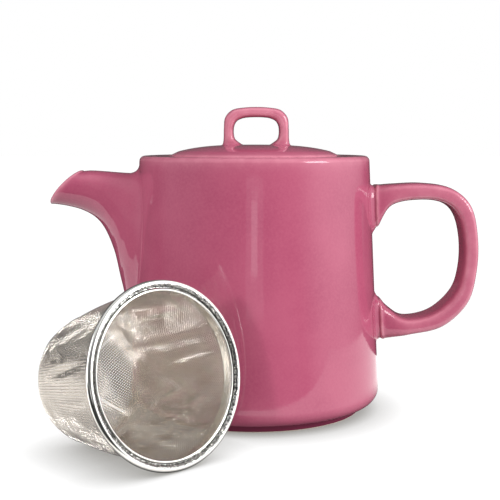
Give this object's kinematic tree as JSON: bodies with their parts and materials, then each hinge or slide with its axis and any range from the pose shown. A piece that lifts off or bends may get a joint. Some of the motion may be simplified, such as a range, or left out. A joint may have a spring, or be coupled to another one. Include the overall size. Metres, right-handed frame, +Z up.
{
  "type": "teapot with infuser",
  "caption": "Glazed cylindrical teapot with a beak spout, strap handle and loop-topped lift-off lid, and a loose steel gauze infuser basket lying beside it.",
  "frame": {"origin": "middle of the pot's foot ring, on the surface that the pot stands on", "axes": "+Z up along the pot's axis, +X along the handle with the spout towards -X, and the infuser lies on the -Y side"},
  "size_m": [0.2043, 0.1861, 0.1444],
  "materials": {
    "glaze": "glossy raspberry-pink glaze over stoneware",
    "rim_steel": "bright rolled stainless steel with a grainy groove",
    "gauze_steel": "fine woven stainless steel wire gauze"
  },
  "bodies": {
    "pot": {"pot_body": "glaze", "spout": "glaze", "handle": "glaze"},
    "lid": {"lid_plate": "glaze", "lid_loop": "glaze"},
    "infuser": {"infuser_rim": "rim_steel", "infuser_collar": "rim_steel", "infuser_mesh": "gauze_steel"}
  },
  "joints": [
    {"name": "lid_lift", "type": "slide", "parent": "pot", "child": "lid", "axis": [0, 0, 1], "range_m": [0, 0.06]},
    {"name": "infuser_lift", "type": "slide", "parent": "pot", "child": "infuser", "axis": [0, 0, 1], "range_m": [0, 0.15]}
  ]
}
